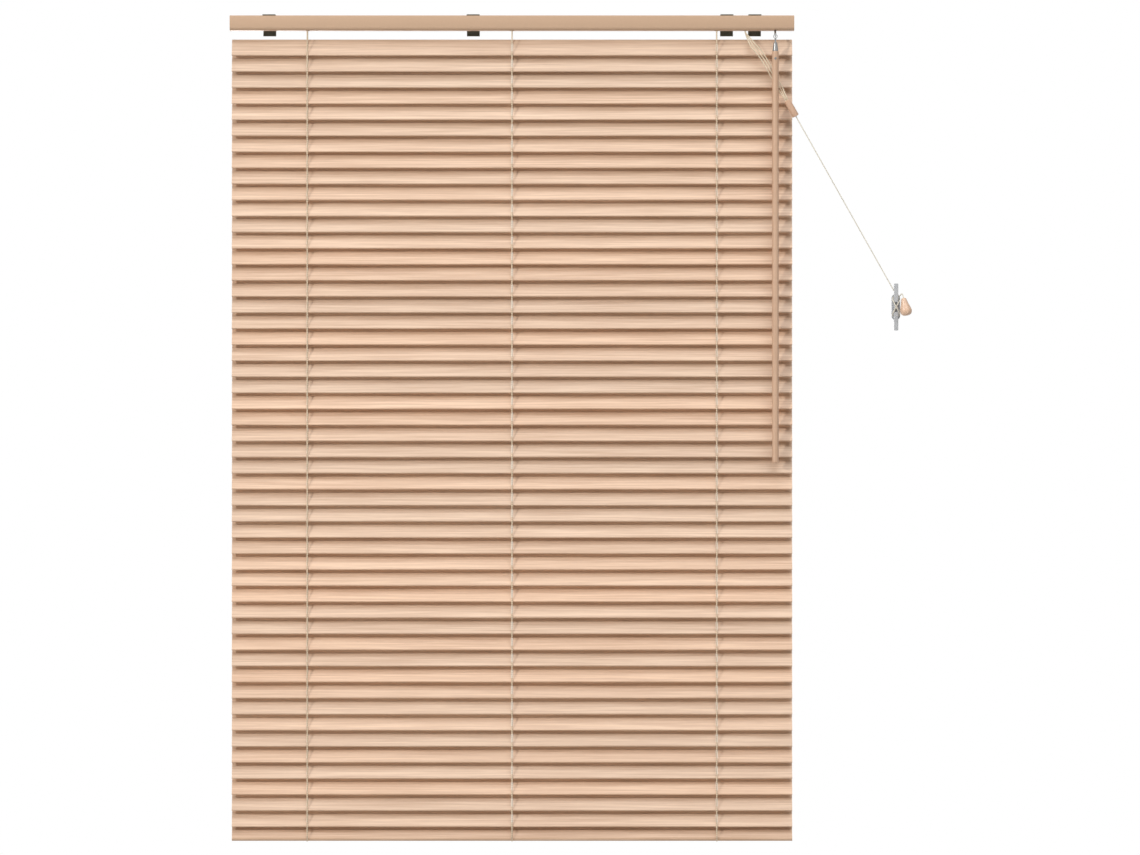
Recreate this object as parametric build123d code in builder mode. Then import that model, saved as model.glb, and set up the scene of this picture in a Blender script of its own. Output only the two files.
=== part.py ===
"""Wooden venetian blind with headrail, tilt wand, lift cords and cord cleat.

X runs along the slats, the front faces -Y and the wall is the plane y = 0.
The origin lies on the wall at half the height of the headrail.
"""
import os
from math import atan, cos, pi, radians, sin, tan

from build123d import *

os.makedirs("parts", exist_ok=True)

# Slats
slat_count = 49
slat_pitch = 21.5
slat_length = 750
slat_width = 25
slat_thickness = 2.8
rest_tilt = 61
max_tilt = 70
rout_width = 2.4

# Ladders and cords
ladder_inset = 101
ladder_spacing = slat_length / 2 - ladder_inset
string_diameter = 1.6
cord_diameter = 1.4
string_clearance = 0.15
cord_clearance = 0.4

# Headrail
headrail_depth = 25
headrail_height = 20
headrail_wall = 0.9
headrail_corner = 5
headrail_lip = 3.5
headrail_crown = 0.5
end_overhang = 2.5
cap_thickness = 1.3
cap_plug = 6
plug_clearance = 0.2
wall_gap = 3.5
first_slat_drop = 22.6

# Tilt gear
shaft_height = 2.2
rod_flats = 4.5
rod_overhang = 8
drum_radius = 6
drum_width = 8
flange_thickness = 1
flange_rise = 1.2
hub_radius = 3.6
hub_length = 3
running_clearance = 0.05
side_play = 0.4
cradle_wall = 2.2
lane_height = 2.7
lane_spacing = 1.9
wheel_teeth = 12
wheel_radius = 4.8
wheel_width = 5
worm_radius = 2.2
addendum = 0.5
dedendum = 0.75
tooth_backlash = 0.8
pressure_angle = 20
thread_turns = 3
stem_slope = 30
stem_radius = 1.3
tilter_x = slat_length / 2 - 23
wand_y = -36
housing_width = 15
housing_wall = 1.6

# Wand
link_radius = 2.4
link_wire = 0.45
link_inset = 1.2
neck_length = 5.7
ferrule_height = 11.4
ferrule_diameter = 7.6
wand_diameter = 8.8
wand_length = 550
rivet_diameter = 3.2

# Brackets
bracket_inset = 50
bracket_positions = (
    bracket_inset - slat_length / 2,
    -52,
    slat_length / 2 - bracket_inset - 37.5,
    slat_length / 2 - bracket_inset,
)
bracket_width = 17.2
bracket_steel = 1.2
bracket_tail = 6.6
bracket_seat = 0.2
screw_hole = 4.4

# Bottom rail
rail_width = 25
rail_thickness = 6
rail_drop = 17
button_diameter = 9
button_height = 2.6
button_inset = 1.8
button_clearance = 0.2

# Cord lock and pull cord
lock_x = tilter_x - 40
lock_advance = 3.5
lock_length = 20
lock_width = 12
lock_height = 8
roller_radius = 1.3
turn_radius = 3
exit_drop = 2
exit_spacing = 2.4
strand_y = -30.1
strand_spread = 3.4
strand_fan = 33
connector_length = 24
connector_diameter = 9.4
connector_top = 8.4
connector_x = lock_x + 67.3
connector_y = -33
connector_drop = 125
connector_pitch = 1.6
cleat_x = slat_length / 2 + 139.5
cleat_drop = 379.6
cleat_height = 63
cleat_bar = 5.7
cleat_base_width = 11.5
cleat_base_height = 35
cleat_layer = 3
cleat_post_width = 6
cleat_post_height = 20
cleat_post_depth = 6
cleat_screw_hole = 3.4
cleat_screw_spacing = 10
tassel_height = 24
tassel_diameter = 16
tassel_lean = 11
tassel_side = 9.4
tassel_y = -20
tassel_rise = 11.8
loop_side = 4.8
loop_back = 7.3
loop_front = 15.1

# Places that follow from the sizes above
mid_y = -(wall_gap + headrail_depth / 2)
floor_z = -headrail_height / 2
inner_floor = floor_z + headrail_wall
channel_length = slat_length + 2 * (end_overhang - cap_thickness)
ladder_places = (-ladder_spacing, 0, ladder_spacing)
first_slat_z = floor_z - first_slat_drop
last_slat_z = first_slat_z - (slat_count - 1) * slat_pitch
tilt = radians(rest_tilt)
string_radius = string_diameter / 2
cord_radius = cord_diameter / 2
edge_arm = (slat_width - slat_thickness) / 2
string_reach = edge_arm * cos(tilt) + slat_thickness / 2 + string_radius + string_clearance
lead_reach = drum_radius + string_radius + string_clearance
rout_opening = cord_diameter + 2 * cord_clearance + slat_thickness * sin(radians(max_tilt))
rout_length = rout_opening / cos(radians(max_tilt))
rail_pivot_z = last_slat_z - rail_drop
rail_half = rail_thickness / 2
rail_rise = (rail_width - rail_thickness) / 2 * sin(tilt)
rail_front_end = rail_pivot_z - rail_rise - rail_half * cos(tilt) - rail_half - cord_clearance
rail_back_end = rail_pivot_z + rail_rise - rail_half * cos(tilt) + rail_half + cord_clearance
lane_z = inner_floor + lane_height
lock_y = mid_y - lock_advance
drum_half = drum_width / 2
cradle_inner = drum_half + side_play
cradle_outer = cradle_inner + cradle_wall
flange_radius = drum_radius + flange_rise

# Worm axis: it passes under the wheel and comes out forward and downward
slope = radians(stem_slope)
gear_centres = wheel_radius + worm_radius
stem_dir = Vector(0, -cos(slope), -sin(slope))
worm_centre = Vector(
    tilter_x,
    mid_y + gear_centres * sin(slope),
    shaft_height - gear_centres * cos(slope),
)
stem_reach = (worm_centre.Y - wand_y) / cos(slope)
link_point = worm_centre + stem_dir * stem_reach
worm_plane = Plane(origin=worm_centre, x_dir=(1, 0, 0), z_dir=stem_dir)
tooth_pitch = 2 * pi * wheel_radius / wheel_teeth
tooth_half = (tooth_pitch - tooth_backlash) / 4
flank = tan(radians(pressure_angle))
tip_half = tooth_half - addendum * flank
root_half = tooth_half + dedendum * flank
worm_length = thread_turns * tooth_pitch + 2 * root_half
lead_angle = atan(tooth_pitch / (2 * pi * worm_radius))
eye_centre = link_point + stem_dir * (link_inset - link_radius)
ring_centre = link_point - Vector(0, 0, link_radius - link_inset)
neck_top = ring_centre.Z - link_radius
ferrule_top = neck_top - neck_length
wand_top = ferrule_top - ferrule_height
rivet_z = wand_top - 10


def easy(before, corner, after, share=0.45):
    """Radius of the arc that uses this share of the shorter run at a corner."""
    one = Vector(*corner) - Vector(*before)
    two = Vector(*after) - Vector(*corner)
    half_turn = radians(one.get_angle(two)) / 2
    return share * min(one.length, two.length) / tan(half_turn)


def self_gap(line, length, diameter, step=0.7):
    """Least clear distance between stretches of one cord that are four diameters or more apart."""
    count = int(length / step)
    spots = [line @ (place / count) for place in range(count + 1)]
    skip = int(4 * diameter / step) + 1
    nearest = []
    for place, one in enumerate(spots[:-skip]):
        nearest.append(min((one - two).length for two in spots[place + skip :]))
    return min(nearest) - diameter


def tube(points, tight, diameter, wound=False):
    """Round cord along straight runs and tangent arcs; tight gives the arcs set by a guide."""
    radii = []
    for place in range(1, len(points) - 1):
        radii.append(tight.get(place) or min(easy(*points[place - 1 : place + 2]), 60))
    with BuildPart() as cord:
        with BuildLine() as route:
            FilletPolyline(*points, radius=radii)
        with BuildSketch(Plane(origin=route.line @ 0, z_dir=route.line % 0)):
            Circle(diameter / 2)
        sweep(path=route.line)
    length = sum(edge.length for edge in route.edges())
    fill = cord.part.volume / (pi * diameter**2 / 4 * length)
    print(f"cord {length:.0f} mm, fill {fill:.4f}, radii", [round(radius, 1) for radius in radii])
    if wound:
        print(f"least gap between its own turns {self_gap(route.line, length, diameter):.2f} mm")
    return cord.part


def save(name, solids):
    """Write one node, made of one solid or of several that stay apart."""
    node = Compound(label=name, children=solids)
    export_step(node, f"parts/{name}.step")


# Slats: one blank with rounded edges and a rout at each ladder, then one copy per place
slat_plane = Plane(
    origin=(-slat_length / 2, mid_y, 0),
    x_dir=(0, cos(tilt), sin(tilt)),
    z_dir=(1, 0, 0),
)
face_plane = Plane(
    origin=(0, mid_y, 0),
    x_dir=(1, 0, 0),
    z_dir=(0, -sin(tilt), cos(tilt)),
)
with BuildPart() as blank:
    with BuildSketch(slat_plane):
        SlotOverall(slat_width, slat_thickness)
    extrude(amount=slat_length)
    with BuildSketch(face_plane):
        with Locations(*[(x, 0) for x in ladder_places]):
            SlotOverall(rout_length, rout_width, rotation=90)
    extrude(amount=slat_thickness, both=True, mode=Mode.SUBTRACT)
for index in range(slat_count):
    with BuildPart() as slat:
        with Locations((0, 0, first_slat_z - index * slat_pitch)):
            add(blank.part)
    slat.part.label = f"slat_{index + 1:02d}"
    export_step(slat.part, f"parts/slat_{index + 1:02d}.step")

# Headrail: folded channel, open on top, with a crowned front, inward lips and punched cord openings
crown_foot = floor_z + headrail_corner
crown_head = headrail_height / 2 - 1.5 * headrail_wall
with BuildSketch() as crown:
    with BuildLine():
        front = Line((mid_y - headrail_depth / 2, crown_foot), (mid_y - headrail_depth / 2, crown_head))
        ThreePointArc(front @ 1, front @ 0.5 - Vector(headrail_crown, 0), front @ 0)
    make_face()
with BuildPart() as headrail:
    with BuildSketch(Plane.YZ.offset(-channel_length / 2)) as profile:
        with Locations((mid_y, 0)):
            Rectangle(headrail_depth, headrail_height)
        fillet(profile.vertices().group_by(Axis.Y)[0], headrail_corner)
        fillet(profile.vertices().group_by(Axis.Y)[-1], 1.5 * headrail_wall)
        offset(amount=-headrail_wall, mode=Mode.SUBTRACT)
        with Locations((mid_y, headrail_height / 2)):
            Rectangle(headrail_depth - 2 * headrail_lip, 4 * headrail_wall, mode=Mode.SUBTRACT)
        add(crown.sketch)
    extrude(amount=channel_length)
    with BuildSketch(Plane.XY.offset(floor_z)):
        with Locations(*[(x, mid_y) for x in ladder_places]):
            SlotOverall(2 * (lead_reach + string_diameter), 5, rotation=90)
        with Locations((lock_x, lock_y)):
            SlotOverall(2 * exit_spacing + 5, 5, rotation=90)
    extrude(amount=headrail_corner, mode=Mode.SUBTRACT)
    with BuildSketch(worm_plane.offset(worm_length / 2 + 2)):
        Circle(stem_radius + 0.6)
    extrude(amount=stem_reach - worm_length / 2, mode=Mode.SUBTRACT)
headrail.part.label = "headrail"
export_step(headrail.part, "parts/headrail.step")

# End caps: a plate with the outline of the channel and a hollow plug inside it
caps = []
for side in (-1, 1):
    mouth = Plane(origin=(side * channel_length / 2, 0, 0), x_dir=(0, 1, 0), z_dir=(1, 0, 0))
    plug_depth = headrail_depth - 2 * headrail_wall - 2 * plug_clearance
    plug_rise = headrail_height - 2 * headrail_wall - 2 * plug_clearance
    with BuildPart() as cap:
        with BuildSketch(mouth) as plate:
            with Locations((mid_y, 0)):
                Rectangle(headrail_depth, headrail_height)
            fillet(plate.vertices().group_by(Axis.Y)[0], headrail_corner)
            fillet(plate.vertices().group_by(Axis.Y)[-1], 1.5 * headrail_wall)
            add(crown.sketch)
        extrude(amount=side * cap_thickness)
        with BuildSketch(mouth) as plug:
            with Locations((mid_y, 0)):
                Rectangle(plug_depth, plug_rise)
            fillet(plug.vertices().group_by(Axis.Y)[0], headrail_corner - headrail_wall)
            offset(amount=-housing_wall, mode=Mode.SUBTRACT)
        extrude(amount=-side * cap_plug)
    caps.append(cap.part)

# Drum cradles: a base on the channel floor and two open bearings
base_top = lane_z - cord_radius - 0.3
base_half = lead_reach + string_diameter + 1
foot_half = headrail_depth / 2 - headrail_corner - 0.2
cradles = []
for x in ladder_places:
    with BuildPart() as cradle:
        with BuildSketch(Plane.YZ.offset(x - cradle_outer)):
            with BuildLine():
                Polyline(
                    (mid_y - foot_half, inner_floor),
                    (mid_y + foot_half, inner_floor),
                    (mid_y + base_half, inner_floor + 0.9),
                    (mid_y + base_half, base_top),
                    (mid_y - base_half, base_top),
                    (mid_y - base_half, inner_floor + 0.9),
                    close=True,
                )
            make_face()
        extrude(amount=2 * cradle_outer)
        for side in (-1, 1):
            with BuildSketch(Plane.YZ.offset(x + side * (cradle_inner + cradle_wall / 2))):
                with Locations((mid_y, (base_top + shaft_height + hub_radius) / 2)):
                    Rectangle(2 * flange_radius, shaft_height + hub_radius - base_top)
                with Locations((mid_y, shaft_height)):
                    Circle(hub_radius + running_clearance, mode=Mode.SUBTRACT)
                with Locations((mid_y, shaft_height + hub_radius)):
                    Rectangle(2 * hub_radius - 0.6, 2 * hub_radius, mode=Mode.SUBTRACT)
                with Locations((mid_y, lane_z)):
                    Rectangle(2 * lane_spacing + 4, 2 * (lane_z - base_top), mode=Mode.SUBTRACT)
            extrude(amount=cradle_wall / 2, both=True)
        with BuildSketch(Plane.XY.offset(inner_floor)):
            with Locations((x + 1, mid_y)):
                SlotOverall(6, 3.6)
            with Locations((x, mid_y - lead_reach), (x, mid_y + lead_reach)):
                Circle(string_radius + 0.6)
        extrude(amount=lane_height, mode=Mode.SUBTRACT)
    cradles.append(cradle.part)

# Tilter housing: two halves round the wheel and the worm
cavity_half = wheel_width / 2 + side_play
housing_top = headrail_height / 2 - headrail_wall - plug_clearance
housing_back = worm_centre.Y + (worm_length / 2 + 2) * cos(slope) + 1
housing_front = mid_y - headrail_depth / 2 + headrail_wall + 0.6
halves = []
for side in (Keep.BOTTOM, Keep.TOP):
    with BuildPart() as half:
        with BuildSketch(Plane.YZ.offset(tilter_x - housing_width / 2)) as wall:
            with Locations(((housing_back + housing_front) / 2, (inner_floor + housing_top) / 2)):
                Rectangle(housing_back - housing_front, housing_top - inner_floor)
            fillet(wall.vertices().group_by(Axis.Y)[0], headrail_corner - headrail_wall)
        extrude(amount=housing_width)
        with BuildSketch(Plane.YZ.offset(tilter_x)):
            with Locations((mid_y, shaft_height)):
                Circle(wheel_radius + addendum + side_play)
        extrude(amount=cavity_half, both=True, mode=Mode.SUBTRACT)
        with BuildSketch(Plane.YZ.offset(tilter_x)):
            with Locations((mid_y, shaft_height)):
                Circle(hub_radius + running_clearance)
        extrude(amount=housing_width, both=True, mode=Mode.SUBTRACT)
        with BuildSketch(worm_plane):
            Circle(worm_radius + addendum + side_play)
        extrude(amount=worm_length / 2 + side_play, both=True, mode=Mode.SUBTRACT)
        with BuildSketch(worm_plane):
            Circle(stem_radius + running_clearance)
        extrude(amount=2 * headrail_depth, both=True, mode=Mode.SUBTRACT)
        split(bisect_by=Plane.YZ.offset(tilter_x), keep=side)
    halves.append(half.part)

# Cord lock: a block with a tunnel for the cords, and the roller that pinches them
tunnel_top = lane_z + cord_radius + 0.3 + 2 * roller_radius + 0.3
roller_x = lock_x - turn_radius - roller_radius
with BuildPart() as lock:
    with BuildSketch(Plane.YZ.offset(lock_x - lock_length * 0.6)) as block:
        with Locations((lock_y, inner_floor + lock_height / 2)):
            Rectangle(lock_width, lock_height)
        chamfer(block.vertices().group_by(Axis.Y)[0].sort_by(Axis.X)[0], 2.4)
    extrude(amount=lock_length)
    with BuildSketch(Plane.YZ.offset(lock_x - lock_length)):
        with Locations((lock_y, (inner_floor + tunnel_top) / 2 + 0.5)):
            Rectangle(2 * exit_spacing + 3, tunnel_top - inner_floor - 1)
    extrude(amount=lock_length + 2.5, mode=Mode.SUBTRACT)
    with BuildSketch(Plane.XY.offset(inner_floor)):
        with Locations((lock_x, lock_y)):
            SlotOverall(2 * exit_spacing + 5, 5, rotation=90)
    extrude(amount=lane_height, mode=Mode.SUBTRACT)
with BuildPart() as roller:
    with BuildSketch(Plane.XZ.offset(-lock_y)):
        with Locations((roller_x, lane_z + cord_radius + 0.3 + roller_radius)):
            Circle(roller_radius)
    extrude(amount=exit_spacing + 1.5, both=True)
save("moulded_fittings", caps + cradles + halves + [lock.part, roller.part])

# Brackets: bent strip with wall plate, top plate and a hook under the front lip
strip_top = headrail_height / 2 + bracket_seat + bracket_steel
front_edge = mid_y - headrail_depth / 2
hook_y = front_edge + headrail_lip + bracket_seat
hook_drop = headrail_wall + bracket_seat
tail_z = floor_z - bracket_tail
brackets = []
for x in bracket_positions:
    with BuildPart() as bracket:
        with BuildSketch(Plane.YZ.offset(x - bracket_width / 2)):
            with BuildLine():
                Polyline(
                    (0, tail_z),
                    (0, strip_top),
                    (front_edge, strip_top),
                    (front_edge, strip_top - bracket_steel),
                    (hook_y, strip_top - bracket_steel),
                    (hook_y, headrail_height / 2 - hook_drop),
                    (hook_y - headrail_lip / 2, headrail_height / 2 - hook_drop),
                    (hook_y - headrail_lip / 2, headrail_height / 2 - hook_drop - bracket_steel),
                    (hook_y + bracket_steel, headrail_height / 2 - hook_drop - bracket_steel),
                    (hook_y + bracket_steel, strip_top - bracket_steel),
                    (-bracket_steel, strip_top - bracket_steel),
                    (-bracket_steel, tail_z + bracket_steel),
                    (-wall_gap, tail_z + bracket_steel),
                    (-wall_gap, tail_z),
                    close=True,
                )
            make_face()
        extrude(amount=bracket_width)
        with BuildSketch(Plane.XZ):
            with Locations((x, 0)):
                Circle(screw_hole / 2)
        extrude(amount=bracket_steel, mode=Mode.SUBTRACT)
        with BuildSketch(Plane.XY.offset(strip_top)):
            with Locations((x, mid_y)):
                Circle(screw_hole / 2)
        extrude(amount=-bracket_steel, mode=Mode.SUBTRACT)
        with BuildSketch(Plane.XZ.offset(wall_gap)):
            with Locations((x, tail_z + bracket_tail / 2)):
                Rectangle(bracket_width - 2.4, bracket_tail - 2.4)
        extrude(amount=-(wall_gap - bracket_steel / 2), mode=Mode.SUBTRACT)
    brackets.append(bracket.part)
save("mounting_brackets", brackets)

# Tilt shaft: hexagonal rod, a drum at each ladder and the worm wheel
rod_left = -ladder_spacing - drum_half - hub_length - rod_overhang
rod_right = tilter_x + housing_width / 2 + 1
with BuildPart() as rod:
    with BuildSketch(Plane.YZ.offset(rod_left)):
        with Locations((mid_y, shaft_height)):
            RegularPolygon(rod_flats / 2, 6, major_radius=False)
    extrude(amount=rod_right - rod_left)
turning = [rod.part]
for x in ladder_places:
    with BuildPart() as drum:
        with BuildSketch(Plane.YZ.offset(x)):
            with Locations((mid_y, shaft_height)):
                Circle(drum_radius)
        extrude(amount=drum_half, both=True)
        for side in (-1, 1):
            with BuildSketch(Plane.YZ.offset(x + side * (drum_half - flange_thickness))):
                with Locations((mid_y, shaft_height)):
                    Circle(flange_radius)
            extrude(amount=side * flange_thickness)
        with BuildSketch(Plane.YZ.offset(x)):
            with Locations((mid_y, shaft_height)):
                Circle(hub_radius)
        extrude(amount=drum_half + hub_length, both=True)
        with BuildSketch(Plane.YZ.offset(x)):
            with Locations((mid_y, shaft_height)):
                RegularPolygon(rod_flats / 2 + running_clearance, 6, major_radius=False)
        extrude(amount=2 * drum_width, both=True, mode=Mode.SUBTRACT)
    turning.append(drum.part)
wheel_twist = wheel_width * tan(lead_angle) / wheel_radius
tooth_angle = 2 * pi / wheel_teeth
# A tooth space faces the worm axis at mid width, where the thread of the worm crosses
space_angle = slope - pi / 2
with BuildPart() as wheel:
    for end in (-0.5, 0.5):
        turn = space_angle + end * wheel_twist
        with BuildSketch(Plane.YZ.offset(tilter_x + end * wheel_width)):
            with BuildLine():
                rim = []
                for tooth in range(wheel_teeth):
                    mid = turn + (tooth + 0.5) * tooth_angle
                    for radius, half in (
                        (wheel_radius - dedendum, -root_half),
                        (wheel_radius + addendum, -tip_half),
                        (wheel_radius + addendum, tip_half),
                        (wheel_radius - dedendum, root_half),
                    ):
                        at = mid + half / radius
                        rim.append((mid_y + radius * cos(at), shaft_height + radius * sin(at)))
                Polyline(*rim, close=True)
            make_face()
    loft(ruled=True)
    with BuildSketch(Plane.YZ.offset(tilter_x)):
        with Locations((mid_y, shaft_height)):
            Circle(hub_radius)
    extrude(amount=housing_width / 2, both=True)
    with BuildSketch(Plane.YZ.offset(tilter_x)):
        with Locations((mid_y, shaft_height)):
            RegularPolygon(rod_flats / 2 + running_clearance, 6, major_radius=False)
    extrude(amount=housing_width, both=True, mode=Mode.SUBTRACT)
turning.append(wheel.part)
save("tilt_shaft", turning)

# Worm, stem and the eye that carries the wand, in one piece
worm_start = worm_centre - stem_dir * (worm_length / 2)
with BuildPart() as worm:
    with BuildSketch(worm_plane.offset(-worm_length / 2)):
        Circle(worm_radius - dedendum)
    extrude(amount=worm_length)
    with BuildSketch(worm_plane.offset(-worm_length / 2 - 2)):
        Circle(stem_radius)
    extrude(amount=worm_length / 2 + 2 + stem_reach + link_inset - 2 * link_radius)
    with BuildLine() as helix:
        Helix(
            pitch=tooth_pitch,
            height=thread_turns * tooth_pitch,
            radius=worm_radius - dedendum - 0.1,
            center=worm_start + stem_dir * root_half,
            direction=stem_dir,
        )
    thread_start = helix.line @ 0
    outward = (thread_start - worm_start - stem_dir * root_half).normalized()
    with BuildSketch(Plane(origin=thread_start, x_dir=outward, z_dir=helix.line % 0)):
        with BuildLine():
            Polyline(
                (0, -root_half),
                (addendum + dedendum + 0.1, -tip_half),
                (addendum + dedendum + 0.1, tip_half),
                (0, root_half),
                close=True,
            )
        make_face()
    sweep(path=helix.line, is_frenet=True)
    with BuildSketch(Plane(origin=eye_centre, x_dir=stem_dir, z_dir=(1, 0, 0))):
        Circle(link_radius + link_wire)
        Circle(link_radius - link_wire, mode=Mode.SUBTRACT)
    extrude(amount=link_wire, both=True)
worm.part.label = "tilt_worm"
export_step(worm.part, "parts/tilt_worm.step")

# Wand: link ring with its neck, bell ferrule, rivet and turned wooden rod
with BuildPart() as ring:
    with BuildSketch(Plane(ring_centre + Vector(link_radius, 0, 0), x_dir=(1, 0, 0), z_dir=(0, 0, 1))):
        Circle(link_wire)
    revolve(axis=Axis(ring_centre, (0, 1, 0)), revolution_arc=360)
    with BuildSketch(Plane.XY.offset(neck_top + link_wire / 2)):
        with Locations((tilter_x, wand_y)):
            Circle(1.1)
    extrude(amount=-(neck_length + link_wire / 2))
with BuildPart() as ferrule:
    with BuildSketch(Plane(origin=(tilter_x, wand_y, 0), x_dir=(1, 0, 0), z_dir=(0, -1, 0))):
        with BuildLine():
            Polyline(
                (0, ferrule_top),
                (2.4, ferrule_top),
                (ferrule_diameter / 2, wand_top + 1),
                (ferrule_diameter / 2, wand_top),
                (0, wand_top),
                close=True,
            )
        make_face()
    revolve(axis=Axis((tilter_x, wand_y, 0), (0, 0, 1)))
with BuildPart() as rivet:
    with BuildSketch(Plane.XZ.offset(-wand_y)):
        with Locations((tilter_x, rivet_z)):
            Circle(rivet_diameter / 2)
    extrude(amount=wand_diameter / 2 + 0.5, both=True)
with BuildPart() as stick:
    with BuildSketch(Plane.XY.offset(wand_top)):
        with Locations((tilter_x, wand_y)):
            Circle(wand_diameter / 2)
    extrude(amount=-wand_length)
    fillet(stick.edges().filter_by(GeomType.CIRCLE), 1.2)
    with BuildSketch(Plane.XZ.offset(-wand_y)):
        with Locations((tilter_x, rivet_z)):
            Circle(rivet_diameter / 2)
    extrude(amount=wand_diameter, both=True, mode=Mode.SUBTRACT)
save("tilt_wand", [ring.part, ferrule.part, rivet.part, stick.part])

# Ladder strings: up from the bottom rail along the slat edges and over the drums
lead_low = first_slat_z + edge_arm * sin(tilt) + 2
lead_high = floor_z - 1
wrap = radians(70)
for name, side, low_end in (("ladder_front", -1, rail_front_end), ("ladder_back", 1, rail_back_end)):
    strings = []
    for x in ladder_places:
        with BuildPart() as string:
            with BuildLine() as route:
                run = FilletPolyline(
                    (x, mid_y + side * string_reach, low_end),
                    (x, mid_y + side * string_reach, lead_low),
                    (x, mid_y + side * lead_reach, lead_high),
                    (x, mid_y + side * lead_reach, shaft_height),
                    radius=8,
                )
                ThreePointArc(
                    run @ 1,
                    (
                        x,
                        mid_y + side * lead_reach * cos(wrap / 2),
                        shaft_height + lead_reach * sin(wrap / 2),
                    ),
                    (x, mid_y + side * lead_reach * cos(wrap), shaft_height + lead_reach * sin(wrap)),
                )
            with BuildSketch(Plane(origin=route.line @ 0, z_dir=route.line % 0)):
                Circle(string_radius)
            sweep(path=route.line)
        strings.append(string.part)
    save(name, strings)

# Bottom rail: a thick slat that tilts about its cord pockets, with the buttons that close its underside
rail_face = Plane(
    origin=(0, mid_y, rail_pivot_z),
    x_dir=(1, 0, 0),
    z_dir=(0, -sin(tilt), cos(tilt)),
)
rail_end = Plane(
    origin=(-slat_length / 2, mid_y + rail_half * sin(tilt), rail_pivot_z - rail_half * cos(tilt)),
    x_dir=(0, cos(tilt), sin(tilt)),
    z_dir=(1, 0, 0),
)
pocket_length = (cord_diameter + 2 * cord_clearance) / cos(radians(max_tilt))
pocket_depth = cord_radius + 2 * cord_clearance
with BuildPart() as rail:
    with BuildSketch(rail_end):
        SlotOverall(rail_width, rail_thickness)
    extrude(amount=slat_length)
    with BuildSketch(rail_face):
        with Locations(*[(x, 0) for x in ladder_places]):
            SlotOverall(pocket_length, rout_width, rotation=90)
    extrude(amount=-pocket_depth, mode=Mode.SUBTRACT)
    with BuildSketch(rail_face.offset(-rail_thickness)):
        with Locations(*[(x, 0) for x in ladder_places]):
            Circle(button_diameter / 2 + button_clearance)
    extrude(amount=button_inset, mode=Mode.SUBTRACT)
rail_set = [rail.part]
for x in ladder_places:
    with BuildPart() as button:
        with BuildSketch(rail_face.offset(button_inset - rail_thickness)):
            with Locations((x, 0)):
                Circle(button_diameter / 2)
        extrude(amount=-button_height)
        fillet(button.faces().sort_by(Axis((0, 0, 0), rail_face.z_dir))[0].edges(), 0.6)
    rail_set.append(button.part)
save("bottom_rail", rail_set)

# Cleat: wall base, post and a bar whose two ends are the horns
cleat_z = -cleat_drop
bar_back = cleat_layer + cleat_post_depth
bar_front = bar_back + cleat_layer
with BuildPart() as cleat:
    with BuildSketch(Plane.XZ):
        with Locations((cleat_x, cleat_z)):
            SlotOverall(cleat_base_height, cleat_base_width, rotation=90)
    extrude(amount=cleat_layer)
    with BuildSketch(Plane.XZ.offset(cleat_layer)):
        with Locations((cleat_x, cleat_z)):
            SlotOverall(cleat_post_height, cleat_post_width, rotation=90)
    extrude(amount=cleat_post_depth)
    with BuildSketch(Plane.XZ.offset(bar_back)):
        with Locations((cleat_x, cleat_z)):
            RectangleRounded(cleat_bar, cleat_height, 1.5)
    extrude(amount=cleat_layer)
    fillet(cleat.faces().sort_by(Axis.Y)[0].edges(), 0.8)
    with BuildSketch(Plane.XZ):
        with Locations(
            (cleat_x, cleat_z - cleat_screw_spacing / 2),
            (cleat_x, cleat_z + cleat_screw_spacing / 2),
        ):
            Circle(cleat_screw_hole / 2)
    extrude(amount=bar_front, mode=Mode.SUBTRACT)
cleat.part.label = "cord_cleat"
export_step(cleat.part, "parts/cord_cleat.step")

# Connector: turned wooden barrel that lies along the taut pull cord
connector_end = Vector(connector_x, connector_y, -connector_drop)
neck_y = -cleat_layer - cord_diameter - 0.3
neck_z = cleat_z + cleat_post_height / 2 - 1.5
neck_side = Vector(cleat_x + loop_side, neck_y, neck_z)
pull_dir = (neck_side - connector_end).normalized()
connector_start = connector_end - pull_dir * connector_length
across = Vector(0, 1, 0).cross(pull_dir).normalized()
depth_dir = pull_dir.cross(across)
barrel_plane = Plane(origin=connector_start, x_dir=across, z_dir=pull_dir.cross(across))
with BuildPart() as connector:
    with BuildSketch(barrel_plane):
        with BuildLine():
            taper = Line((connector_top / 2, 0), (connector_diameter / 2, -connector_length))
            Polyline(taper @ 1, (0, -connector_length), (0, 0), taper @ 0)
        make_face()
    revolve(axis=Axis(connector_start, pull_dir))
    fillet(connector.edges().filter_by(GeomType.CIRCLE), 0.5)

# Lift cords: from the bottom rail up through the slats, along the headrail, over the lock to the connector
strand_route = ((7, -26.2), (19, -40), (28, -53), (38, -72), (47, -88))
fan_x = strand_spread * cos(radians(strand_fan))
fan_z = strand_spread * sin(radians(strand_fan))
lift_set = []
face_spots = (-across, across, depth_dir)
for x, lane, spread, spot in zip(ladder_places, (-1, 1, 0), (1, -1, 0), face_spots):
    lane_y = mid_y + lane * lane_spacing
    exit_y = lock_y + lane * exit_spacing
    entry = connector_start + spot * connector_pitch
    points = [(x, mid_y, rail_pivot_z), (x, mid_y, lane_z)]
    tight = {1: turn_radius}
    if x < ladder_spacing:
        points += [(x + 20, mid_y, lane_z), (x + 40, lane_y, lane_z)]
        points += [(ladder_spacing + 10, lane_y, lane_z)]
    else:
        points += [(x + 10, mid_y, lane_z)]
    points += [(lock_x - 12, exit_y, lane_z), (lock_x, exit_y, lane_z)]
    tight[len(points) - 1] = turn_radius
    points += [(lock_x, exit_y, floor_z - exit_drop)]
    for along, at_z in strand_route:
        points += [(lock_x + along + spread * fan_x, strand_y, at_z + spread * fan_z)]
    points += [tuple(entry - pull_dir * 7), tuple(entry)]
    lift_set.append(tube(points, tight, cord_diameter))

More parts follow.
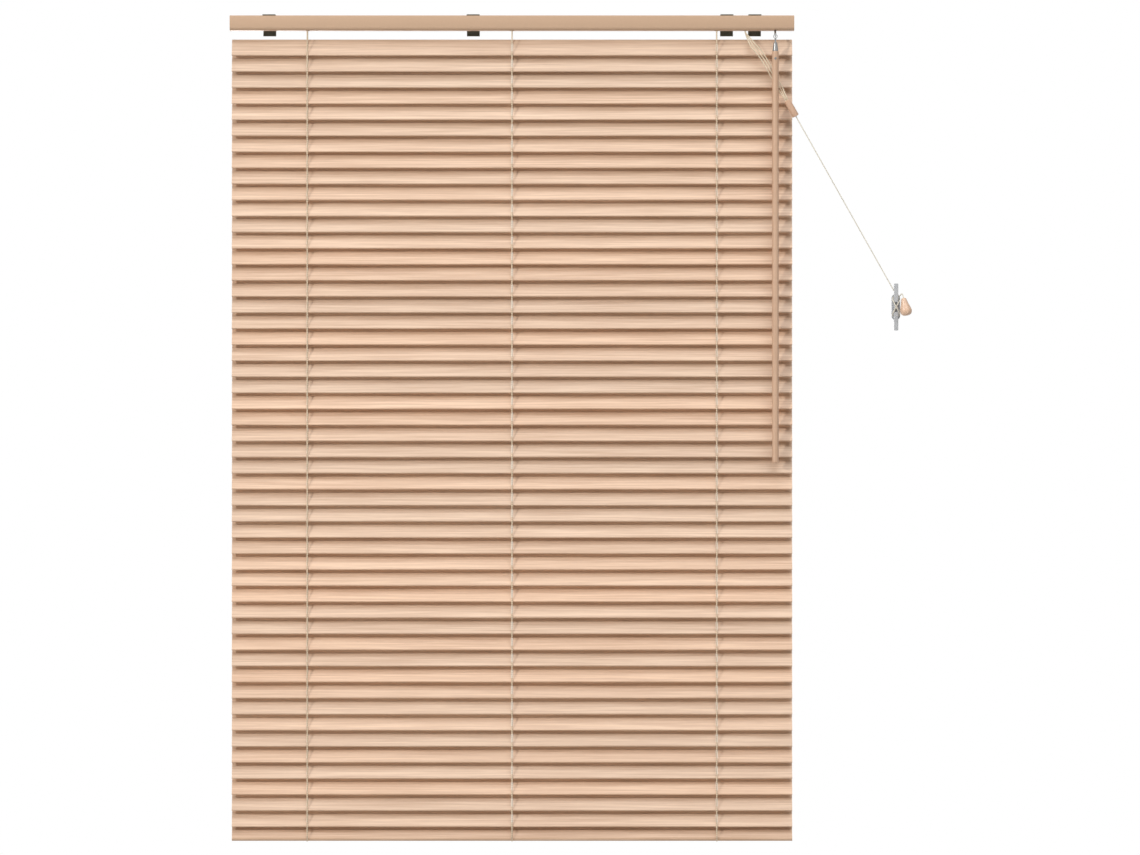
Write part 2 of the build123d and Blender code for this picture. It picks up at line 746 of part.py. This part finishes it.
# Pull cord: taut to the cleat, then a figure of eight round both horns and on to the tassel
crossing = cleat_post_height * 0.42
loop_end = cleat_post_height / 2 + 2
first_front = bar_front + cord_radius + 0.4
tassel_top = Vector(cleat_x + tassel_side, tassel_y, cleat_z + tassel_rise)
tassel_dir = Vector(sin(radians(tassel_lean)), 0, -cos(radians(tassel_lean)))
around = (
    (loop_side, -first_front, crossing),
    (-loop_side, -first_front, -crossing),
    (-loop_side, -loop_back, -loop_end),
    (loop_side, -loop_back, -loop_end),
    (loop_side, -loop_front, -crossing),
    (-loop_side, -loop_front, crossing),
    (-loop_side, -loop_back, loop_end + 1),
    (loop_side, -loop_back, loop_end + 2),
    (loop_side + 2, tassel_y * 0.7, tassel_rise + 6),
)
points = [tuple(connector_end), tuple(neck_side)]
points += [(cleat_x + across_x, y, cleat_z + up) for across_x, y, up in around]
points += [tuple(tassel_top - tassel_dir * 5), tuple(tassel_top)]
pull_cord = tube(points, {}, cord_diameter, wound=True)

# Tassel: turned wooden pear
tassel_plane = Plane(origin=tassel_top, x_dir=Vector(0, 1, 0), z_dir=tassel_dir.cross(Vector(0, 1, 0)))
with BuildPart() as tassel:
    with BuildSketch(tassel_plane):
        with BuildLine():
            neck = Line((0, 0), (tassel_diameter * 0.16, 0))
            flare = Spline(
                neck @ 1,
                (tassel_diameter * 0.3, -tassel_height * 0.28),
                (tassel_diameter / 2, -tassel_height * 0.7),
                (tassel_diameter * 0.36, -tassel_height * 0.94),
                (tassel_diameter * 0.15, -tassel_height),
            )
            Polyline(flare @ 1, (0, -tassel_height), (0, 0))
        make_face()
    revolve(axis=Axis(tassel_top, tassel_dir))
save("lift_cord_set", lift_set + [connector.part, pull_cord, tassel.part])
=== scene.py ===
import math
import random

import bpy
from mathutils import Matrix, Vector


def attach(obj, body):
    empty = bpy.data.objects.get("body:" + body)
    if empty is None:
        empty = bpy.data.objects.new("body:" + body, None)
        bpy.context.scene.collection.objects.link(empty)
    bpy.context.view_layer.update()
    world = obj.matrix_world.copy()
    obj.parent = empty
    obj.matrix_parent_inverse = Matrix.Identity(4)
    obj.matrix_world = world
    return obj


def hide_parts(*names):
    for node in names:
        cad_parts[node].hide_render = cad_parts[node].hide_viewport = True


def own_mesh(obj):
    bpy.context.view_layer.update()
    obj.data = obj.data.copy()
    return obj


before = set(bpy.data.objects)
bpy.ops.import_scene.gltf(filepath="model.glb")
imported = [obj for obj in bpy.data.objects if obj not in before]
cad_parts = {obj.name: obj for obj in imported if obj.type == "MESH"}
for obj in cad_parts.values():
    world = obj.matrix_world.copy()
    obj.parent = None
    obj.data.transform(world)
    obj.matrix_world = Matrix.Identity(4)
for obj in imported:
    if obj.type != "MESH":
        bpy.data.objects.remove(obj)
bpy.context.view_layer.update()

# Sizes in metres, as in the CAD part

ROOT = "fixed_frame"
CLEARANCE = 0.00015

COUNT = 49
PITCH = 0.0215
MID_Y = -0.016  # centre line of the slats and of the shaft
FIRST_Z = -0.0326  # centre line of the first slat
TILT = math.radians(61)
HALF_WIDTH = 0.0125
THICK = 0.0028
ARM = HALF_WIDTH - THICK / 2
EDGE_Z = ARM * math.sin(TILT)  # from a slat's centre line up to its back edge

FLOOR_Z = -0.010  # underside of the headrail
CAP_X = 0.3695  # where the end caps begin
SHAFT_Z = 0.0022
SHAFT_R = 0.0028  # faces farther from the axis are a drum's or the worm wheel's
DRUM_R = 0.006

LADDERS = (-0.274, 0.0, 0.274)
STRING_R = 0.0008
REACH = ARM * math.cos(TILT) + THICK / 2 + STRING_R + CLEARANCE  # string beside the slats
LEAD = DRUM_R + STRING_R + CLEARANCE  # string on a drum

RAIL_DROP = 0.017  # from the last slat to the bottom rail
RAIL_Z = FIRST_Z - (COUNT - 1) * PITCH - RAIL_DROP
RAIL_HALF = 0.003
RAIL_ARM = 0.0095
RAIL_RISE = RAIL_ARM * math.sin(TILT)
BUTTON_R = 0.0046
BUTTON_BELOW = 0.0043  # faces farther below the rail's centre are a button's

WAND_X = 0.352
STICK_TOP = -0.03813
RIVET_Z = STICK_TOP - 0.010
RIVET_R = 0.00163

rng = random.Random(7)


# Materials


def new_material(name):
    mat = bpy.data.materials.new(name)
    mat.use_nodes = True
    nodes = mat.node_tree.nodes
    return mat, nodes, mat.node_tree.links, nodes["Principled BSDF"]


def coordinates(nodes, links, scale=(1, 1, 1), shift=(0, 0, 0), turn=(0, 0, 0)):
    """Object coordinates, stretched, turned and shifted."""
    coord = nodes.new("ShaderNodeTexCoord")
    mapping = nodes.new("ShaderNodeMapping")
    mapping.inputs["Location"].default_value = shift
    mapping.inputs["Rotation"].default_value = turn
    mapping.inputs["Scale"].default_value = scale
    links.new(coord.outputs["Object"], mapping.inputs["Vector"])
    return mapping.outputs["Vector"]


def ramp(nodes, links, source, stops):
    node = nodes.new("ShaderNodeValToRGB")
    node.color_ramp.elements[0].position = stops[0][0]
    node.color_ramp.elements[0].color = (*stops[0][1], 1)
    node.color_ramp.elements[1].position = stops[-1][0]
    node.color_ramp.elements[1].color = (*stops[-1][1], 1)
    for place, colour in stops[1:-1]:
        node.color_ramp.elements.new(place).color = (*colour, 1)
    links.new(source, node.inputs["Fac"])
    return node.outputs["Color"]


def noise(nodes, links, vector, scale, detail, rough):
    node = nodes.new("ShaderNodeTexNoise")
    node.inputs["Scale"].default_value = scale
    node.inputs["Detail"].default_value = detail
    node.inputs["Roughness"].default_value = rough
    links.new(vector, node.inputs["Vector"])
    return node.outputs["Fac"]


def bump(nodes, links, shader, height, strength, distance):
    node = nodes.new("ShaderNodeBump")
    node.inputs["Strength"].default_value = strength
    node.inputs["Distance"].default_value = distance
    links.new(height, node.inputs["Height"])
    links.new(node.outputs["Normal"], shader.inputs["Normal"])


def mix(nodes, links, share, one, two):
    """Two colours, with this share of the second."""
    node = nodes.new("ShaderNodeMix")
    node.data_type = "RGBA"
    node.inputs["Factor"].default_value = share
    colour_a, colour_b, result = node.inputs[6], node.inputs[7], node.outputs[2]
    links.new(one, colour_a)
    links.new(two, colour_b)
    return result


def maximum(nodes, links, one, two):
    node = nodes.new("ShaderNodeMath")
    node.operation = "MAXIMUM"
    links.new(one, node.inputs[0])
    links.new(two, node.inputs[1])
    return node.outputs[0]


def wood(name, light, dark, along, shift, rough=0.42):
    """Lime wood: long fibres and broad bands, along X or along Z."""
    mat, nodes, links, shader = new_material(name)
    fine = (8, 420, 420) if along == "X" else (420, 420, 8)
    broad = (2.5, 60, 60) if along == "X" else (60, 60, 2.5)
    fibres = noise(nodes, links, coordinates(nodes, links, fine, shift), 1.0, 6.0, 0.65)
    bands = noise(nodes, links, coordinates(nodes, links, broad, shift), 1.0, 3.0, 0.5)
    middle = tuple((a + b) / 2 for a, b in zip(light, dark))
    fibre_colour = ramp(nodes, links, fibres, [(0.34, dark), (0.5, middle), (0.62, light)])
    band_colour = ramp(nodes, links, bands, [(0.3, middle), (0.62, light)])
    colour = mix(nodes, links, 0.7, band_colour, fibre_colour)
    links.new(colour, shader.inputs["Base Color"])
    shader.inputs["Roughness"].default_value = rough
    shader.inputs["Coat Weight"].default_value = 0.08
    shader.inputs["Coat Roughness"].default_value = 0.35
    bump(nodes, links, shader, fibres, 0.12, 0.0004)
    return mat


def speckled(name, colour, spread, scale, rough, metal=0.0, grain=0.05):
    """Paint, plastic or metal with a fine uneven surface."""
    mat, nodes, links, shader = new_material(name)
    place = coordinates(nodes, links, shift=(0.3, 0.1, 0.2))
    specks = noise(nodes, links, place, scale, 3.0, 0.6)
    low = tuple(max(0.0, c * (1 - spread)) for c in colour)
    high = tuple(min(1.0, c * (1 + spread)) for c in colour)
    speck_colour = ramp(nodes, links, specks, [(0.35, low), (0.65, high)])
    links.new(speck_colour, shader.inputs["Base Color"])
    shader.inputs["Roughness"].default_value = rough
    shader.inputs["Metallic"].default_value = metal
    bump(nodes, links, shader, specks, grain, 0.0002)
    return mat


def braid(name, light, dark, pitch):
    """Braided cord: crossed diagonal waves."""
    mat, nodes, links, shader = new_material(name)
    heights = []
    for lean in (0.7, -0.7):
        wave = nodes.new("ShaderNodeTexWave")
        wave.wave_type = "BANDS"
        wave.inputs["Scale"].default_value = 0.35 / pitch
        wave.inputs["Distortion"].default_value = 1.2
        place = coordinates(nodes, links, turn=(0, lean, lean))
        links.new(place, wave.inputs["Vector"])
        heights.append(wave.outputs["Fac"])
    strands = maximum(nodes, links, *heights)
    strand_colour = ramp(nodes, links, strands, [(0.35, dark), (0.9, light)])
    links.new(strand_colour, shader.inputs["Base Color"])
    shader.inputs["Roughness"].default_value = 0.85
    shader.inputs["Sheen Weight"].default_value = 0.2
    bump(nodes, links, shader, strands, 0.5, 0.0003)
    return mat


def smooth_plastic(name, low, high):
    mat, nodes, links, shader = new_material(name)
    clouds = noise(nodes, links, coordinates(nodes, links), 120, 3.0, 0.5)
    links.new(ramp(nodes, links, clouds, [(0.3, low), (0.7, high)]), shader.inputs["Base Color"])
    shader.inputs["Roughness"].default_value = 0.3
    shader.inputs["IOR"].default_value = 1.45
    return mat


slat_light = (0.82, 0.585, 0.415)
slat_dark = (0.55, 0.345, 0.22)
wand_wood = wood("wand wood", (0.70, 0.465, 0.315), (0.54, 0.335, 0.215), "Z", (3, 1, 2))
# The bottom rail's wood is darker than the slat wood, partly its own tone and partly painted
# shade of the last slat above it
shaded_rail_wood = wood("rail wood with painted shade", (0.72, 0.49, 0.333), (0.48, 0.286, 0.171), "X", (9, 4, 6))
turned_wood = wood("turned wood", (0.72, 0.465, 0.315), (0.60, 0.37, 0.245), "Z", (5, 2, 8))
tassel_wood = wood("tassel wood", (0.84, 0.58, 0.41), (0.74, 0.485, 0.335), "Z", (5, 2, 8), 0.32)
rail_paint = speckled("headrail paint", (0.59, 0.395, 0.26), spread=0.06, scale=900, rough=0.42)
dark_steel = speckled(
    "bracket steel", (0.09, 0.083, 0.052), spread=0.25, scale=600, rough=0.55, grain=0.1
)
bright_steel = speckled(
    "bright steel", (0.24, 0.24, 0.235), spread=0.12, scale=1500, rough=0.36, metal=1.0
)
nylon = speckled("nylon", (0.7, 0.68, 0.62), spread=0.05, scale=700, rough=0.5)
cap_plastic = speckled("cap plastic", (0.58, 0.388, 0.255), spread=0.05, scale=700, rough=0.5)
cleat_plastic = smooth_plastic("cleat plastic", (0.50, 0.51, 0.52), (0.54, 0.55, 0.56))
ladder_cord = braid("ladder cord", (0.86, 0.72, 0.53), (0.60, 0.46, 0.31), 0.0016)
lift_cord = braid("lift cord", (0.88, 0.77, 0.59), (0.64, 0.53, 0.37), 0.0014)
pull_cord_look = braid("pull cord", (0.88, 0.83, 0.70), (0.74, 0.68, 0.55), 0.0014)


# Helpers for pieces


def wear(obj, *materials):
    obj.data.materials.clear()
    for mat in materials:
        obj.data.materials.append(mat)


def paint_by(obj, materials, choose):
    """Several materials on one mesh, chosen by the centre of each face."""
    wear(obj, *materials)
    for face in obj.data.polygons:
        face.material_index = choose(face.center)


def mesh_object(name, verts, faces, material):
    mesh = bpy.data.meshes.new(name)
    mesh.from_pydata(verts, [], faces)
    mesh.update()
    for face in mesh.polygons:
        face.use_smooth = True
    obj = bpy.data.objects.new(name, mesh)
    bpy.context.scene.collection.objects.link(obj)
    mesh.materials.append(material)
    return obj


def ring(centre, one, two, radius, sides):
    """Points around a centre, in the plane of two directions."""
    points = []
    for k in range(sides):
        turn = 2 * math.pi * k / sides
        points.append(tuple(centre + (one * math.cos(turn) + two * math.sin(turn)) * radius))
    return points


def skin(rings, sides):
    """Faces between rings of points, with closed ends."""
    faces = []
    for i in range(rings - 1):
        for k in range(sides):
            a = i * sides + k
            b = i * sides + (k + 1) % sides
            faces.append((a, b, b + sides, a + sides))
    last = (rings - 1) * sides
    faces.append(tuple(reversed(range(sides))))
    faces.append(tuple(range(last, last + sides)))
    return faces


def tube_mesh(path, radius, sides=10):
    """Vertices and faces of a round tube along points."""
    verts = []
    points = [Vector(p) for p in path]
    side = None
    for i, p in enumerate(points):
        before = points[max(i - 1, 0)]
        after = points[min(i + 1, len(points) - 1)]
        way = (after - before).normalized()
        if side is None:
            side = way.orthogonal().normalized()
        side = (side - way * side.dot(way)).normalized()
        verts += ring(p, side, way.cross(side), radius, sides)
    return verts, skin(len(points), sides)


def lathe(name, start, way, profile, material, sides=40):
    """Turned piece: profile is (radius, distance along the axis)."""
    axis = Vector(way).normalized()
    one = axis.orthogonal().normalized()
    two = axis.cross(one)
    verts = []
    for radius, along in profile:
        verts += ring(Vector(start) + axis * along, one, two, radius, sides)
    return mesh_object(name, verts, skin(len(profile), sides), material)


def joined(parts):
    verts, faces = [], []
    for v, f in parts:
        start = len(verts)
        verts += v
        faces += [tuple(i + start for i in face) for face in f]
    return verts, faces


def smooth_curve(name, points, resolution):
    """Curve data with one smooth line that has these control points."""
    data = bpy.data.curves.new(name, "CURVE")
    data.dimensions = "3D"
    data.resolution_u = resolution
    spline = data.splines.new("NURBS")
    spline.points.add(len(points) - 1)
    for place, point in zip(spline.points, points):
        place.co = (*point, 1)
    spline.order_u = 3
    spline.use_endpoint_u = True
    return data


def line_points(points, resolution):
    """Points of the smooth line that has these control points."""
    holder = bpy.data.objects.new("line", smooth_curve("line", points, resolution))
    bpy.context.scene.collection.objects.link(holder)
    mesh = bpy.data.meshes.new_from_object(holder)
    found = [tuple(v.co) for v in mesh.vertices]
    bpy.data.objects.remove(holder)
    bpy.data.meshes.remove(mesh)
    return found


# CAD pieces that are shown as they are


def fittings_part(c):
    return 1 if abs(c.x) > CAP_X else 0


def shaft_part(c):
    """The drums and the worm wheel on the square shaft."""
    return 1 if math.hypot(c.y - MID_Y, c.z - SHAFT_Z) > SHAFT_R else 0


def rail_part(c):
    """The three round buttons in the underside of the tilted rail."""
    along = (c.y - MID_Y) * math.cos(TILT) + (c.z - RAIL_Z) * math.sin(TILT)
    below = (c.y - MID_Y) * math.sin(TILT) - (c.z - RAIL_Z) * math.cos(TILT)
    beside = min(abs(c.x - x) for x in LADDERS)
    return 1 if math.hypot(along, beside) < BUTTON_R and below > BUTTON_BELOW else 0


def wand_part(c):
    """The ring and ferrule above the stick, and the rivet in it."""
    above = c.z > STICK_TOP + 0.0001
    rivet = math.hypot(c.x - WAND_X, c.z - RIVET_Z) < RIVET_R
    return 1 if above or rivet else 0


for index in range(COUNT):
    tone = rng.uniform(-1, 1)
    warm = rng.uniform(-1, 1)
    change = [1 + 0.05 * tone + k * 0.05 * warm for k in (0.4, -0.3, -0.9)]
    light = tuple(c * k for c, k in zip(slat_light, change))
    dark = tuple(c * k for c, k in zip(slat_dark, change))
    shift = (rng.uniform(0, 40), rng.uniform(0, 40), rng.uniform(0, 40))
    slat_wood = wood(f"slat wood {index + 1:02d}", light, dark, "X", shift)
    wear(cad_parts[f"slat_{index + 1:02d}"], slat_wood)

wear(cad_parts["headrail"], rail_paint)
wear(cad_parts["mounting_brackets"], dark_steel)
wear(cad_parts["tilt_worm"], bright_steel)
wear(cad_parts["cord_cleat"], cleat_plastic)
paint_by(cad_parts["moulded_fittings"], (nylon, cap_plastic), fittings_part)
paint_by(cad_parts["tilt_shaft"], (bright_steel, nylon), shaft_part)
paint_by(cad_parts["bottom_rail"], (shaded_rail_wood, nylon), rail_part)
paint_by(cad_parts["tilt_wand"], (wand_wood, bright_steel), wand_part)

# Ladder strings: the long run moves with its ladder, and the back ones slide up into the headrail

BACK_TOP = 0.0102  # high enough to reach the headrail's floor at the lower limit
OVERLAP = 0.001  # of a front string with its lead
PAST = 0.0004  # from the rail's edges to the ends of the strings
DROP_MIDDLE = -0.004  # middle control point of a drum's lead
STUB = 0.002  # of the drums' leads, seen below the headrail
WRAP = 70  # degrees around the drum
LEAD_INSIDE = 0.0005  # of the front leads, above the underside of the headrail


def string_set(places, resolution):
    """A string at each ladder, along the smooth line of these (y, z) places."""
    strings = []
    for x in LADDERS:
        line = line_points([(x, y, z) for y, z in places], resolution)
        strings.append(tube_mesh(line, STRING_R))
    return joined(strings)


def straight(y, top, bottom):
    return [(y, top), (y, (top + bottom) / 2), (y, bottom)]


for name, side in (("ladder_front", -1), ("ladder_back", 1)):
    top = FIRST_Z - EDGE_Z + OVERLAP if side < 0 else BACK_TOP
    bottom = RAIL_Z + side * (RAIL_RISE + RAIL_HALF + PAST) - RAIL_HALF * math.cos(TILT)
    run_line = straight(MID_Y + side * REACH, top, bottom)
    run = mesh_object(f"{name}_strings", *string_set(run_line, 40), ladder_cord)
    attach(run, name)
    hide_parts(name)

    lead_y = MID_Y + side * LEAD
    drop_line = [(lead_y, SHAFT_Z), (lead_y, DROP_MIDDLE), (lead_y, FLOOR_Z - STUB)]
    drop = mesh_object(f"{name}_drum_leads", *string_set(drop_line, 8), ladder_cord)
    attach(drop, ROOT)

    corner = LEAD / math.cos(math.radians(WRAP / 2))
    arc = []
    for turn, reach in ((0, LEAD), (WRAP / 2, corner), (WRAP, LEAD)):
        across = math.cos(math.radians(turn)) * reach
        arc.append((MID_Y + side * across, SHAFT_Z + math.sin(math.radians(turn)) * reach))
    wrap = mesh_object(f"{name}_drum_ends", *string_set(arc, 12), ladder_cord)
    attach(wrap, "tilt_shaft")

# Front leads: they shorten as the drums wind the front strings up

lead_y = MID_Y - REACH
lead_end = FIRST_Z - EDGE_Z
lead_line = straight(lead_y, FLOOR_Z + LEAD_INSIDE, lead_end)
lead = mesh_object("ladder_front_top_leads", *string_set(lead_line, 16), ladder_cord)
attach(lead, "ladder_front")
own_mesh(lead)

# Rungs: two thin cords under each slat at every ladder, as (across the slat, below it, sideways)

RUNG_R = 0.0004
RUNG_LINE = (
    (-0.0133, 0.0, 0.0),
    (-0.0130, -0.0010, 0.0006),
    (-0.0118, -0.0019, 0.0016),
    (-0.0090, -0.0020, 0.0021),
    (0.0, -0.0020, 0.0022),
    (0.0090, -0.0020, 0.0021),
    (0.0118, -0.0019, 0.0016),
    (0.0130, -0.0010, 0.0006),
    (0.0133, 0.0, 0.0),
)

rung_parts = []
for x in LADDERS:
    for lean in (-1, 1):
        rung = []
        for along, below, out in RUNG_LINE:
            y = along * math.cos(TILT) - below * math.sin(TILT)
            z = along * math.sin(TILT) + below * math.cos(TILT)
            rung.append((x + lean * out, y, z))
        rung_parts.append(tube_mesh(rung, RUNG_R, 8))
rung_verts, rung_faces = joined(rung_parts)
for index in range(COUNT):
    slat_z = FIRST_Z - index * PITCH
    placed = [(x, y + MID_Y, z + slat_z) for x, y, z in rung_verts]
    rungs = mesh_object(f"rungs_{index + 1:02d}", placed, rung_faces, ladder_cord)
    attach(rungs, f"slat_{index + 1:02d}")

# Lift cords and pull cord, along the CAD routes

CORD = 0.0014
CORD_STEPS = 12
BEND = 0.0084  # from a bend's corner to the control points beside it
SUNK = 0.001  # of a cord's end in a fitting

LANE_Z = -0.0064  # height of the lift cords in the headrail
LANE_PITCH = 0.0019
LANE_FROM, LANE_TO = 0.020, 0.040  # past its ladder, where a cord moves over to its lane
LOCK_X = 0.312  # where the lift cords leave the headrail
LOCK_Y = -0.0195
LOCK_PITCH = 0.0024
LOCK_FROM, LOCK_TO = 0.028, 0.012  # before the exit, where a cord moves over to the lock
EXIT_Z = -0.012

STRAND_Y = -0.0301  # strands behind the wand
STRANDS = ((0.319, -0.0262), (0.331, -0.040), (0.340, -0.053), (0.350, -0.072), (0.359, -0.088))
FAN_LEAN = math.radians(33)
FAN_STEP = 0.0034
FAN = Vector((math.cos(FAN_LEAN), 0, math.sin(FAN_LEAN))) * FAN_STEP

CLEAT = Vector((0.5145, 0, -0.3796))  # centre of the cleat on the wall
NECK_SIDE = Vector((0.5193, -0.0047, -0.3711))  # where the pull cord meets the cleat
CONNECTOR_LENGTH = 0.024
CONNECTOR_END = Vector((0.3793, -0.033, -0.125))
PULL = (NECK_SIDE - CONNECTOR_END).normalized()
CONNECTOR_START = CONNECTOR_END - PULL * CONNECTOR_LENGTH
ENTRY = 0.0016  # of the strands in the connector, from its axis
ENTRY_LEAD = 0.007  # from a strand's last control point outside to the connector
ACROSS = Vector((0, 1, 0)).cross(PULL).normalized()
DEPTH = PULL.cross(ACROSS)

TASSEL_TOP = CLEAT + Vector((0.0094, -0.020, 0.0118))
TASSEL_LEAN = math.radians(11)
TASSEL_DIR = Vector((math.sin(TASSEL_LEAN), 0, -math.cos(TASSEL_LEAN)))
TASSEL_LEAD = 0.005  # from the pull cord's last control point outside to the tassel

SCREW_HEAD_Y = -0.0110
SCREW_RISE = 0.005

# Profiles of turned pieces, as (radius, distance along the axis)

CONNECTOR_SHAPE = (
    (0.0032, 0.0),
    (0.0040, 0.0002),
    (0.0042, 0.0007),
    (0.0046, 0.012),
    (0.0047, 0.0226),
    (0.0045, 0.0236),
    (0.0040, CONNECTOR_LENGTH),
)
TASSEL_SHAPE = (
    (0.0018, 0.0),
    (0.0027, 0.0003),
    (0.0034, 0.0015),
    (0.0041, 0.0040),
    (0.0050, 0.0074),
    (0.0063, 0.0112),
    (0.0075, 0.0145),
    (0.0080, 0.0170),
    (0.0078, 0.0190),
    (0.0071, 0.0210),
    (0.0058, 0.0226),
    (0.0040, 0.0236),
    (0.0018, 0.0240),
)
SCREW_SHAPE = (
    (0.0005, 0.0),
    (0.0013, 0.0001),
    (0.0016, 0.0005),
    (0.0016, 0.0105),
    (0.0012, 0.0108),
)

# Control points of the pull cord's figure of eight, from the centre of the cleat

CLEAT_TURNS = (
    (0.0048, -0.0131, 0.0084),
    (-0.0048, -0.0131, -0.0084),
    (-0.0048, -0.0073, -0.012),
    (0.0048, -0.0073, -0.012),
    (0.0048, -0.0151, -0.0084),
    (-0.0048, -0.0151, 0.0084),
    (-0.0048, -0.0073, 0.013),
    (0.0048, -0.0073, 0.014),
    (0.0068, -0.014, 0.0178),
)


def cord_curve(name, points, material):
    data = smooth_curve(name, points, CORD_STEPS)
    data.bevel_depth = CORD / 2
    data.bevel_resolution = 4
    data.use_fill_caps = True
    data.materials.append(material)
    obj = bpy.data.objects.new(name, data)
    bpy.context.scene.collection.objects.link(obj)
    return obj


def line_length(points):
    found = [Vector(p) for p in line_points(points, CORD_STEPS)]
    return sum((b - a).length for a, b in zip(found, found[1:]))


connector = lathe("cord_connector", CONNECTOR_START, PULL, CONNECTOR_SHAPE, turned_wood)
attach(connector, ROOT)
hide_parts("lift_cord_set")

tassel = lathe("cord_tassel", TASSEL_TOP, TASSEL_DIR, TASSEL_SHAPE, tassel_wood)
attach(tassel, ROOT)

for name, x, lane, spread, spot in (
    ("left", LADDERS[0], -1, 1, -ACROSS),
    ("middle", LADDERS[1], 1, -1, ACROSS),
    ("right", LADDERS[2], 0, 0, DEPTH),
):
    lane_y = MID_Y + lane * LANE_PITCH
    exit_y = LOCK_Y + lane * LOCK_PITCH
    entry = CONNECTOR_START + spot * ENTRY
    inside = [
        (x, MID_Y, RAIL_Z),
        (x, MID_Y, LANE_Z - BEND),
        (x, MID_Y, LANE_Z),
        (x + BEND, MID_Y, LANE_Z),
    ]
    if name != "right":  # the right ladder is beside the lock, so its cord needs no lane
        inside += [
            (x + LANE_FROM, MID_Y, LANE_Z),
            (x + LANE_TO, lane_y, LANE_Z),
            (LOCK_X - LOCK_FROM, lane_y, LANE_Z),
        ]
    inside += [
        (LOCK_X - LOCK_TO, exit_y, LANE_Z),
        (LOCK_X - BEND, exit_y, LANE_Z),
        (LOCK_X, exit_y, LANE_Z),
        (LOCK_X, exit_y, EXIT_Z),
    ]
    hidden = cord_curve(f"lift_cord_{name}", inside, lift_cord)
    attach(hidden, ROOT)

    free = [(LOCK_X, exit_y, EXIT_Z)]
    free += [(at_x + spread * FAN.x, STRAND_Y, at_z + spread * FAN.z) for at_x, at_z in STRANDS]
    free += [tuple(entry - PULL * ENTRY_LEAD), tuple(entry + PULL * SUNK)]
    strand = cord_curve(f"lift_strand_{name}", free, lift_cord)
    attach(strand, ROOT)
    line_length(free)

pull = [tuple(CONNECTOR_END), tuple(NECK_SIDE - PULL * BEND), tuple(NECK_SIDE)]
pull += [tuple(CLEAT + Vector(turn)) for turn in CLEAT_TURNS]
pull += [tuple(TASSEL_TOP - TASSEL_DIR * TASSEL_LEAD), tuple(TASSEL_TOP + TASSEL_DIR * SUNK)]
pull_cord = cord_curve("pull_cord", pull, pull_cord_look)
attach(pull_cord, ROOT)
line_length(pull)

# Screws that hold the cleat, sunk in its two holes

for number, rise in enumerate((SCREW_RISE, -SCREW_RISE)):
    head = CLEAT + Vector((0, SCREW_HEAD_Y, rise))
    screw = lathe(f"cleat_screw_{number + 1}", head, (0, 1, 0), SCREW_SHAPE, bright_steel)
    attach(screw, ROOT)

# Floor, lights, camera and white surroundings

STAGE_Z = -1.35
STAGE_CORNERS = ((-7, -6), (7, -6), (7, 3), (-7, 3))
AIM = Vector((0.0, -0.02, -0.54))  # middle of the blind


def seen_rays(nodes, links):
    """1 for what the camera sees, also in a mirror or through glass, and 0 for falling light."""
    path = nodes.new("ShaderNodeLightPath")
    seen = path.outputs["Is Camera Ray"]
    for kind in ("Is Glossy Ray", "Is Transmission Ray"):
        seen = maximum(nodes, links, seen, path.outputs[kind])
    return seen


def area_light(name, place, size, power):
    data = bpy.data.lights.new(name, "AREA")
    data.energy = power
    data.size = size
    obj = bpy.data.objects.new(name, data)
    obj.location = place
    obj.rotation_euler = (AIM - Vector(place)).to_track_quat("-Z", "Y").to_euler()
    scene.collection.objects.link(obj)


scene = bpy.context.scene
floor_mesh = bpy.data.meshes.new("floor")
floor_mesh.from_pydata([(x, y, STAGE_Z) for x, y in STAGE_CORNERS], [], [(0, 1, 2, 3)])
floor = bpy.data.objects.new("floor", floor_mesh)
scene.collection.objects.link(floor)
floor_look = speckled("floor", (0.62, 0.62, 0.615), spread=0.02, scale=30, rough=0.7)
floor_mesh.materials.append(floor_look)
floor_tree = floor_look.node_tree
floor_shader = floor_tree.nodes["Principled BSDF"]
floor_shader.inputs["Emission Color"].default_value = (0.7, 0.7, 0.7, 1)
floor_seen = seen_rays(floor_tree.nodes, floor_tree.links)
floor_tree.links.new(floor_seen, floor_shader.inputs["Emission Strength"])

area_light("key", (-4.4, -5.0, 2.2), 0.4, 215)
area_light("soft", (1.9, -6.2, 8.4), 9.9, 940)
area_light("back", (-1.2, 3.5, -1.0), 1.5, 50)

world = bpy.data.worlds.new("white")
scene.world = world
world.use_nodes = True
w_nodes = world.node_tree.nodes
w_links = world.node_tree.links
background = w_nodes["Background"]
background.inputs["Color"].default_value = (1, 1, 1, 1)
strength = w_nodes.new("ShaderNodeMapRange")
strength.inputs["To Min"].default_value = 0.06
strength.inputs["To Max"].default_value = 1.0
w_links.new(seen_rays(w_nodes, w_links), strength.inputs["Value"])
w_links.new(strength.outputs["Result"], background.inputs["Strength"])

camera_data = bpy.data.cameras.new("camera")
camera_data.sensor_width = 36
camera_data.lens = 211.9
camera_data.clip_end = 100
camera = bpy.data.objects.new("camera", camera_data)
camera.location = (0.0776, -9.0, -0.5411)
camera.rotation_euler = (math.pi / 2, 0, 0)
scene.collection.objects.link(camera)
scene.camera = camera
scene.view_settings.view_transform = "Standard"
